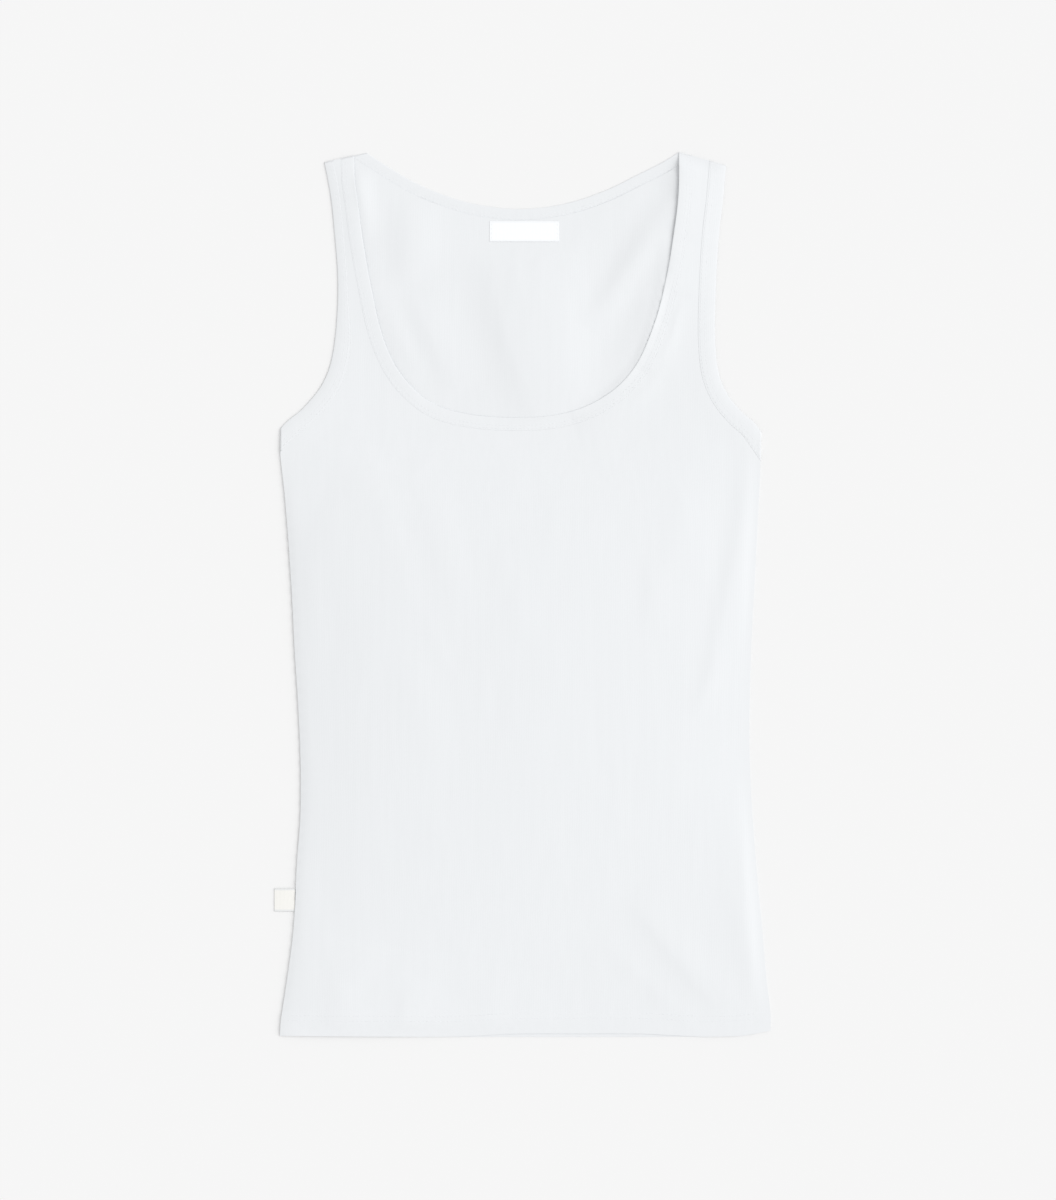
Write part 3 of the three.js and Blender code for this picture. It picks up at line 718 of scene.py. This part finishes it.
# Where the rows run: shares of the way across a binding, depths below the hem's stitched edge,
# and how far in from the label's ends; and how high a binding is under them
rowsAt = {"binding": (0.62, 0.87), "hem": (1.4, 5.2), "labelEnd": 1.2, "labelTop": 1.0,
          "armholeTall": 0.93, "neckTall": 0.82}


def stitchRow(line, heightAt):
    count = int(lengthOf(line) / stitch["pitch"])
    middles = evenly(line, count * 2)[1::2]
    heading = np.gradient(middles, axis=0)
    heading /= np.linalg.norm(heading, axis=1)[:, None]
    across = np.column_stack([-heading[:, 1], heading[:, 0]])
    along = np.linspace(-1, 1, stitch["rings"])
    size = stitch["radius"] * np.sqrt(np.clip(1 - along**2, 0.004, 1))
    turn = np.arange(stitch["sides"]) * 2 * np.pi / stitch["sides"]
    centre = middles[:, None] + heading[:, None] * (along * stitch["length"] / 2)[None, :, None]
    lift = heightAt(centre[..., 0], centre[..., 1]) + stitch["arch"] * (1 - along**2) - stitch["sunk"]
    side = size[:, None] * np.cos(turn)[None]
    xy = centre[:, :, None] + across[:, None, None] * side[None, :, :, None]
    z = lift[:, :, None] + (size[:, None] * np.sin(turn)[None])[None]
    points = np.concatenate([xy, np.broadcast_to(z, xy.shape[:3])[..., None]], -1)
    k = np.arange(points[..., 0].size).reshape(points.shape[:3])
    right = np.roll(k, -1, axis=2)
    sides = np.stack([k[:, :-1], right[:, :-1], right[:, 1:], k[:, 1:]], -1).reshape(-1, 4)
    ends = np.vstack([k[:, 0, ::-1], k[:, -1]])
    return points.reshape(-1, 3), sides.tolist() + ends.tolist()


def stitchObject(name, rows):
    points, faces, start = [], [], 0
    for line, heightAt in rows:
        p, f = stitchRow(line, heightAt)
        faces += [[start + v for v in face] for face in f]
        points.append(p)
        start += len(p)
    return meshObject(name, np.vstack(points), faces)


# A line part of the way across a binding, from its finished edge to its seam
def acrossBinding(edge, seam, share):
    count = 400
    return evenly(edge, count) * (1 - share) + evenly(seam, count) * share


def bindingTop(lower, tall):
    return lambda x, y: lower(x, y) + tall * cloth["bindingWall"] * unpressed(x, y)


frontTop = bindingTop(onBack, rowsAt["armholeTall"])
stitchRows = {"neck": [], "armhole_left": [], "armhole_right": [], "hem": []}
for share in rowsAt["binding"]:
    for edge, lower in (("frontNeck", onBack), ("backNeck", flatOnSurface)):
        row = acrossBinding(lines[edge], seams[edge], share)
        stitchRows["neck"].append((row, bindingTop(lower, rowsAt["neckTall"])))
    for side in ("left", "right"):
        row = acrossBinding(lines[f"{side}Armhole"], armSeams[side], share)
        stitchRows[f"armhole_{side}"].append((row, frontTop))
for depth in rowsAt["hem"]:
    inner = frontHem[6:-6] + [0, cloth["hemDepth"] - depth]
    stitchRows["hem"].append((inner, frontHigh))
threads = {name: stitchObject(f"{name}_stitches", rows) for name, rows in stitchRows.items()}
labelEnds = [
    (between((x, label["bottom"] + rowsAt["labelTop"]), (x, label["top"] - rowsAt["labelTop"]), 20),
     lambda x, y: labelLow(x, y) + label["wall"])
    for x in (label["left"] + rowsAt["labelEnd"], label["right"] - rowsAt["labelEnd"])
]
threads["label"] = stitchObject("label_stitches", labelEnds)
print("tank top: stitches made")


# Materials. An sRGB hex colour turned to linear light.
def colour(hexText):
    part = [int(hexText[k:k + 2], 16) / 255 for k in (1, 3, 5)]
    return tuple(c / 12.92 if c <= 0.04045 else ((c + 0.055) / 1.055) ** 2.4 for c in part) + (1.0,)


# Adds a node with its settings; an input is a value or another node's output
def add(tree, kind, inputs=None, **settings):
    made = tree.nodes.new(kind)
    for key, value in settings.items():
        setattr(made, key, value)
    for key, value in (inputs or {}).items():
        if isinstance(value, bpy.types.NodeSocket):
            tree.links.new(value, made.inputs[key])
        else:
            made.inputs[key].default_value = value
    return made


def newMaterial(name):
    made = bpy.data.materials.new(name)
    made.use_nodes = True
    made.node_tree.nodes.clear()
    return made, made.node_tree


# Plain jersey knit. Each wale is a rounded rib and each loop a V in it. Real wales are 0.7 mm
# apart; they are drawn 1.3 mm apart, because finer ones don't show at this distance.
jersey = {"wale": 1.3, "course": 1.05, "relief": 0.16, "fuzz": 0.10, "roundness": 3.4, "slant": 1.1,
          "loop": 0.16, "streaks": 0.9, "bump": 0.14}


def knitHeight(tree, x, y):
    def sums(operation, *values):
        return add(tree, "ShaderNodeMath", dict(enumerate(values)), operation=operation).outputs[0]
    column = sums("FRACT", sums("DIVIDE", x, jersey["wale"]))
    off = sums("ABSOLUTE", sums("SUBTRACT", column, 0.5))
    rib = sums("SUBTRACT", 1.0, sums("MULTIPLY", sums("POWER", off, 2.0), jersey["roundness"]))
    slant = sums("ADD", sums("DIVIDE", y, jersey["course"]), sums("MULTIPLY", off, jersey["slant"]))
    loop = sums("SINE", sums("MULTIPLY", slant, 2 * math.pi))
    return sums("MULTIPLY", rib, sums("MULTIPLY_ADD", loop, jersey["loop"], 1 - jersey["loop"]))


def jerseyMaterial(name, hexColour, followsStrip=False):
    made, tree = newMaterial(name)
    place = add(tree, "ShaderNodeTexCoord").outputs["UV" if followsStrip else "Object"]
    inMm = add(tree, "ShaderNodeMapping", {"Vector": place, "Scale": (1000, 1000, 1000)}).outputs[0]
    parts = add(tree, "ShaderNodeSeparateXYZ", {0: inMm}).outputs
    x, y = (parts[1], parts[0]) if followsStrip else (parts[0], parts[1])
    wander = add(tree, "ShaderNodeTexNoise", {"Vector": inMm, "Scale": 0.05, "Detail": 2.0}).outputs[0]
    x = add(tree, "ShaderNodeMath", {0: wander, 1: 2.2, 2: x}, operation="MULTIPLY_ADD").outputs[0]
    knit = knitHeight(tree, x, y)
    fuzz = add(tree, "ShaderNodeTexNoise", {"Vector": inMm, "Scale": 1.7, "Detail": 5.0,
                                            "Roughness": 0.62}).outputs[0]
    streak = add(tree, "ShaderNodeMapping", {"Vector": inMm, "Scale": (0.22, 0.012, 1)}).outputs[0]
    streaks = add(tree, "ShaderNodeTexNoise", {"Vector": streak, "Scale": 1.0, "Detail": 3.0}).outputs[0]
    height = add(tree, "ShaderNodeMath", {0: fuzz, 1: jersey["fuzz"] / jersey["relief"], 2: knit},
                 operation="MULTIPLY_ADD").outputs[0]
    height = add(tree, "ShaderNodeMath", {0: streaks, 1: jersey["streaks"], 2: height},
                 operation="MULTIPLY_ADD").outputs[0]
    bump = add(tree, "ShaderNodeBump", {"Height": height, "Strength": jersey["bump"],
                                        "Distance": jersey["relief"] * mm}).outputs[0]
    # Painted shade: the knit's grooves between ribs and loops are painted a little darker. The long streaks
    # then lighten or darken it a little, partly the yarn's own uneven tone and partly painted light on
    # their raised parts.
    grooveShadeAndStreaks = add(tree, "ShaderNodeMapRange", {"Value": knit, "From Min": 0.3, "From Max": 1.0,
                                            "To Min": 0.99, "To Max": 1.0}).outputs[0]
    grooveShadeAndStreaks = add(tree, "ShaderNodeMath", {0: grooveShadeAndStreaks, 1: add(
        tree, "ShaderNodeMapRange", {"Value": streaks, "From Min": 0.3, "From Max": 0.7,
                                     "To Min": 0.993, "To Max": 1.005}).outputs[0]},
               operation="MULTIPLY").outputs[0]
    shade = add(tree, "ShaderNodeVectorMath", {0: colour(hexColour)[:3], "Scale": grooveShadeAndStreaks},
                operation="SCALE").outputs[0]
    skin = add(tree, "ShaderNodeBsdfPrincipled", {
        "Base Color": shade, "Roughness": 0.93, "IOR": 1.45, "Specular IOR Level": 0.12,
        "Sheen Weight": 0.05, "Sheen Roughness": 0.6, "Normal": bump}).outputs[0]
    add(tree, "ShaderNodeOutputMaterial", {"Surface": skin})
    return made


# Woven ribbon: fine threads across, and a firmer selvedge along both long edges
def ribbonMaterial(name, hexColour, edgeColour, low, high, gloss):
    made, tree = newMaterial(name)
    place = add(tree, "ShaderNodeTexCoord").outputs["Object"]
    inMm = add(tree, "ShaderNodeMapping", {"Vector": place, "Scale": (1000, 1000, 1000)}).outputs[0]
    parts = add(tree, "ShaderNodeSeparateXYZ", {0: inMm}).outputs
    weft = add(tree, "ShaderNodeTexWave", {"Vector": inMm, "Scale": 0.42, "Distortion": 0.4},
               bands_direction="Y").outputs[1]
    warp = add(tree, "ShaderNodeTexWave", {"Vector": inMm, "Scale": 0.3, "Distortion": 0.4},
               bands_direction="X").outputs[1]
    weave = add(tree, "ShaderNodeMath", {0: weft, 1: warp}, operation="ADD").outputs[0]
    middle = (low + high) / 2
    off = add(tree, "ShaderNodeMath", {0: parts[1], 1: middle}, operation="SUBTRACT").outputs[0]
    off = add(tree, "ShaderNodeMath", {0: off}, operation="ABSOLUTE").outputs[0]
    selvedge = add(tree, "ShaderNodeMapRange", {
        "Value": off, "From Min": (high - low) / 2 - 1.5, "From Max": (high - low) / 2 - 1.0}).outputs[0]
    shade = add(tree, "ShaderNodeMix", {0: selvedge, 6: colour(hexColour), 7: colour(edgeColour)},
                data_type="RGBA").outputs[2]
    height = add(tree, "ShaderNodeMath", {0: selvedge, 1: 0.8, 2: weave},
                 operation="MULTIPLY_ADD").outputs[0]
    bump = add(tree, "ShaderNodeBump", {"Height": height, "Strength": 0.35,
                                        "Distance": 0.12 * mm}).outputs[0]
    skin = add(tree, "ShaderNodeBsdfPrincipled", {
        "Base Color": shade, "Roughness": gloss, "IOR": 1.5, "Specular IOR Level": 0.3,
        "Sheen Weight": 0.03, "Sheen Roughness": 0.5, "Normal": bump}).outputs[0]
    add(tree, "ShaderNodeOutputMaterial", {"Surface": skin})
    return made


# Spun polyester sewing thread: two plies twisted, so it glints a little more than the knit
def threadMaterial(name, hexColour):
    made, tree = newMaterial(name)
    place = add(tree, "ShaderNodeTexCoord").outputs["Object"]
    inMm = add(tree, "ShaderNodeMapping", {"Vector": place, "Scale": (1000, 1000, 1000),
                                           "Rotation": (0, 0, 0.7)}).outputs[0]
    plies = add(tree, "ShaderNodeTexWave", {"Vector": inMm, "Scale": 0.8, "Distortion": 0.5}).outputs[1]
    bump = add(tree, "ShaderNodeBump", {"Height": plies, "Strength": 0.3, "Distance": 0.08 * mm}).outputs[0]
    # Painted highlight: the plies' raised twists are painted lighter than the thread's own colour.
    shade = add(tree, "ShaderNodeMix", {0: plies, 6: colour(hexColour), 7: colour("#EDEEF0")},
                data_type="RGBA").outputs[2]
    skin = add(tree, "ShaderNodeBsdfPrincipled", {
        "Base Color": shade, "Roughness": 0.6, "IOR": 1.5, "Specular IOR Level": 0.3,
        "Normal": bump}).outputs[0]
    add(tree, "ShaderNodeOutputMaterial", {"Surface": skin})
    return made


frontJersey = jerseyMaterial("cotton_jersey_front", "#E7E9EB")
backJersey = jerseyMaterial("cotton_jersey_inside", "#E7E9EB")
foldedJersey = jerseyMaterial("cotton_jersey_binding", "#E7E9EB", followsStrip=True)
labelSatin = ribbonMaterial("woven_satin_label", "#F6F8FA", "#F1F3F5", label["bottom"], label["top"], 0.5)
tabRibbon = ribbonMaterial("woven_ribbon_tab", "#EFEEEA", "#E3E4E4", tab["bottom"], tab["top"], 0.7)
sewingThread = threadMaterial("sewing_thread", "#E6E8EA")

# What each piece stands for, what it is made of, and the cut of what shows of it: width and
# length in metres, and its flat area
neckLength = {"front": lengthOf(lines["frontNeck"]) * mm, "back": lengthOf(lines["backNeck"]) * mm}
armLength = {side: lengthOf(lines[f"{side}Armhole"]) * mm for side in ("left", "right")}
sheets = [
    (frontPanel, "front_panel", "jersey_front", frontJersey, (0.374, 0.666), 0.1725, ["back_panel_cloth"],
     [threads["hem"]]),
    (backPanel, "back_panel", "jersey_back", backJersey, (0.374, 0.666), 0.2080, [], []),
    (neckFront, "neck_binding_front", "binding_jersey", foldedJersey,
     (0.010, neckLength["front"]), None, ["back_panel_cloth"], [threads["neck"]]),
    (neckBack, "neck_binding_back", "binding_jersey", foldedJersey,
     (0.010, neckLength["back"]), None, [], []),
    (neckLabel, "neck_label", "label_satin", labelSatin, (0.0525, 0.0158), None, ["back_panel_cloth"],
     [threads["label"]]),
    (sideTab, "side_tab", "tab_ribbon", tabRibbon, (0.0155, 0.0172), None, [], []),
]
for (side, run), binding in armBindings.items():
    under = [f"armhole_binding_{side}_back_cloth"] if run == "front" else []
    going = [threads[f"armhole_{side}"]] if run == "front" else []
    sheets.append((binding, f"armhole_binding_{side}_{run}", "binding_jersey", foldedJersey,
                   (0.0125, armLength[side]), None, under, going))

for piece, node, slot, material, flat, area, restsOn, going in sheets:
    piece.data.materials.append(material)
    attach(piece, "root")
    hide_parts(node)
for name, piece in threads.items():
    piece.data.materials.append(sewingThread)
    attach(piece, "root")

# Studio: a pale paper floor, an even white surround, and a soft lamp from the right
studio = {"floor": "#EDEDED", "surround": 0.81, "lamp": 1.5, "lampHeight": 36.0, "lampTurn": 6.0,
          "lampSoftness": 55.0}

floorMesh = bpy.data.meshes.new("paper_floor")
floorMesh.from_pydata([(-4, -4, 0), (4, -4, 0), (4, 4, 0), (-4, 4, 0)], [], [(0, 1, 2, 3)])
floor = bpy.data.objects.new("paper_floor", floorMesh)
bpy.context.scene.collection.objects.link(floor)
floor.location.z = -0.0001
paper, tree = newMaterial("matt_paper")
grain = add(tree, "ShaderNodeTexNoise", {"Scale": 300.0, "Detail": 2.0}).outputs[0]
bump = add(tree, "ShaderNodeBump", {"Height": grain, "Strength": 0.02, "Distance": 0.0001}).outputs[0]
paperSkin = add(tree, "ShaderNodeBsdfDiffuse", {
    "Color": colour(studio["floor"]), "Normal": bump}).outputs[0]
add(tree, "ShaderNodeOutputMaterial", {"Surface": paperSkin})
floorMesh.materials.append(paper)

world = bpy.data.worlds.new("studio")
bpy.context.scene.world = world
world.use_nodes = True
world.node_tree.nodes.clear()
glow = add(world.node_tree, "ShaderNodeBackground", {"Color": (1, 1, 1, 1), "Strength": studio["surround"]})
add(world.node_tree, "ShaderNodeOutputWorld", {"Surface": glow.outputs[0]})

lamp = bpy.data.lights.new("soft_lamp", "SUN")
lamp.energy = studio["lamp"]
lamp.angle = math.radians(studio["lampSoftness"])
lampObject = bpy.data.objects.new("soft_lamp", lamp)
lampObject.rotation_euler = (0, math.radians(90 - studio["lampHeight"]), math.radians(studio["lampTurn"]))
bpy.context.scene.collection.objects.link(lampObject)

# Camera straight above. The photo is 1056 by 1200 pixels at 0.76 mm each.
camera = {"pixel": 0.76, "tall": 1200, "lens": 100.0, "sensor": 36.0, "x": 4.2, "y": -4.2, "clothTop": 4.0}
lens = bpy.data.cameras.new("camera_above")
lens.lens = camera["lens"]
lens.sensor_width = camera["sensor"]
eye = bpy.data.objects.new("camera_above", lens)
distance = camera["lens"] * camera["pixel"] * camera["tall"] / camera["sensor"]
eye.location = (camera["x"] * mm, camera["y"] * mm, (distance + camera["clothTop"]) * mm)
bpy.context.scene.collection.objects.link(eye)
bpy.context.scene.camera = eye
bpy.context.scene.view_settings.view_transform = "Standard"
bpy.context.scene.view_settings.look = "None"
print("tank top: studio set")
